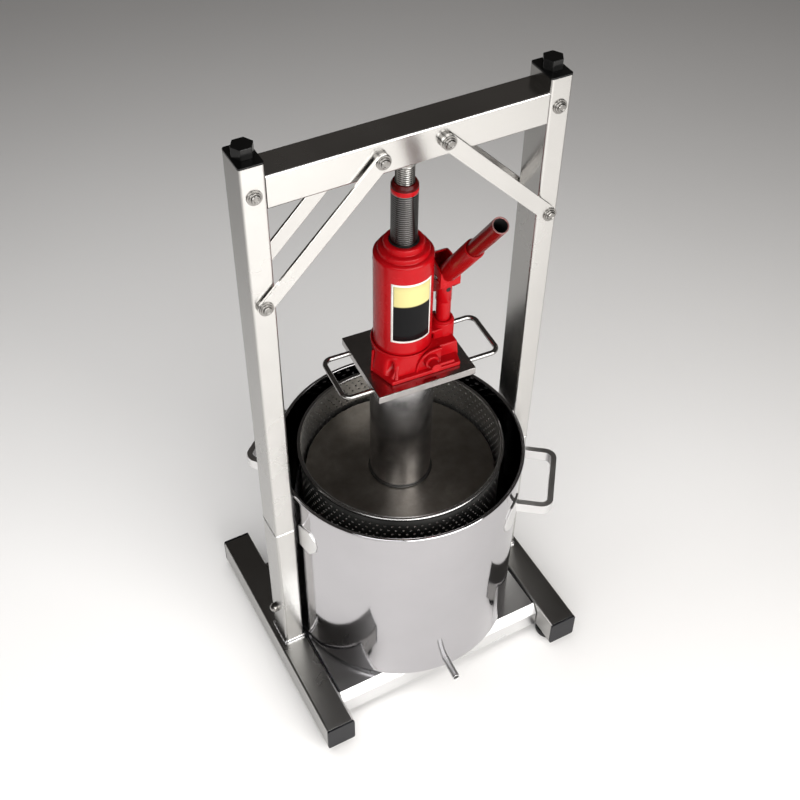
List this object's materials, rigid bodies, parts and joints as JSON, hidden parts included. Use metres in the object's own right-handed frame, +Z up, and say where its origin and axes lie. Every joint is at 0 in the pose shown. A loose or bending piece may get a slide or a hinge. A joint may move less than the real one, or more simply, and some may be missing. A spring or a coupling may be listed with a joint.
{
  "type": "hydraulic fruit press",
  "caption": "Basket press: a bottle jack under a bolted steel gantry drives a round plate down into a perforated basket inside a pot with a drain spout.",
  "frame": {"origin": "on the floor under the middle of the bounding box, which is also the axis of the pot", "axes": "+Z up, -Y is the front where the spout points, +X towards the pump side"},
  "size_m": [0.3837, 0.36, 0.8245],
  "materials": {
    "frame_steel": "satin ground stainless",
    "polished_steel": "polished stainless",
    "basket_steel": "perforated stainless",
    "tool_steel": "satin stainless",
    "bright_zinc": "bright zinc",
    "red_paint": "gloss",
    "ram_steel": "turned steel",
    "black_plastic": "gloss",
    "cap_plastic": "satin",
    "rubber": "matt"
  },
  "bodies": {
    "frame": {"foot_tube_left": "frame_steel", "foot_tube_right": "frame_steel", "foot_end_caps": "cap_plastic", "rubber_feet": "rubber", "foot_screws": "bright_zinc", "front_rail": "frame_steel", "rear_rail": "frame_steel", "base_plate": "frame_steel", "base_bearers": "frame_steel", "stub_post_left": "frame_steel", "stub_post_right": "frame_steel", "spigot_left": "frame_steel", "spigot_right": "frame_steel", "upright_left": "frame_steel", "upright_right": "frame_steel", "crossbeam": "frame_steel", "beam_tongues": "frame_steel", "top_plugs": "black_plastic", "top_hex_heads": "black_plastic", "beam_bolts": "bright_zinc", "hex_nuts": "bright_zinc", "washers": "bright_zinc", "brace_front_left": "frame_steel", "brace_front_right": "frame_steel", "brace_back_left": "frame_steel", "brace_back_right": "frame_steel", "brace_bolts": "bright_zinc", "brace_spacers": "bright_zinc", "cross_bolts": "bright_zinc", "cross_nuts": "bright_zinc"},
    "pot": {"pot_shell": "polished_steel", "pot_handle_left": "polished_steel", "pot_handle_right": "polished_steel", "pot_guide": "polished_steel", "drain_spout": "polished_steel"},
    "basket": {"basket_wall": "basket_steel", "basket_hoop": "basket_steel", "basket_floor": "basket_steel"},
    "press_tool": {"press_plate": "tool_steel", "press_pillar": "tool_steel", "jack_plate": "tool_steel", "loop_handle_left": "polished_steel", "loop_handle_right": "polished_steel", "jack_base": "red_paint", "jack_tank": "red_paint", "jack_top_nut": "red_paint", "jack_cylinder": "ram_steel", "filler_plug": "rubber", "pump_cylinder": "red_paint", "fulcrum_links": "red_paint", "fulcrum_pin": "bright_zinc"},
    "ram": {"jack_ram": "ram_steel", "ram_seal": "rubber"},
    "screw": {"extension_screw": "ram_steel"},
    "lever": {"handle_socket": "red_paint"},
    "bar": {"handle_tube": "red_paint"},
    "plunger": {"pump_plunger": "bright_zinc", "plunger_pin": "bright_zinc"},
    "valve": {"release_valve": "red_paint"}
  },
  "joints": [
    {"name": "pot_turn", "type": "hinge", "parent": "frame", "child": "pot", "pos_m": [0, 0, 0.0492], "axis": [0, 0, 1], "range_deg": [-70, 0]},
    {"name": "basket_lift", "type": "slide", "parent": "pot", "child": "basket", "axis": [0, 0, 1], "range_m": [0, 0.15]},
    {"name": "press_slide", "type": "slide", "parent": "frame", "child": "press_tool", "axis": [0, 0, 1], "range_m": [-0.04, 0.06]},
    {"name": "ram_slide", "type": "slide", "parent": "press_tool", "child": "ram", "axis": [0, 0, 1], "range_m": [-0.06, 0.04]},
    {"name": "screw_extend", "type": "slide", "parent": "ram", "child": "screw", "axis": [0, 0, 1], "range_m": [-0.0205, 0]},
    {"name": "pump_lever", "type": "hinge", "parent": "press_tool", "child": "lever", "pos_m": [0.05103, 0.01482, 0.587], "axis": [0.998, -0.0628, 0], "range_deg": [-20, 0]},
    {"name": "pump_plunger", "type": "slide", "parent": "press_tool", "child": "plunger", "axis": [0, 0, 1], "range_m": [0, 0.0089]},
    {"name": "handle_pull", "type": "slide", "parent": "lever", "child": "bar", "axis": [-0.0378, -0.6006, 0.7986], "range_m": [0, 0.06]},
    {"name": "release_valve", "type": "hinge", "parent": "press_tool", "child": "valve", "pos_m": [0.01501, -0.04804, 0.509], "axis": [-0.0628, -0.998, 0], "range_deg": [-30, 180]}
  ],
  "couplings": [
    {"joint": "ram_slide", "follows": "press_slide", "ratio": -1},
    {"joint": "pump_plunger", "follows": "pump_lever", "m_per_rad": -0.0252}
  ]
}
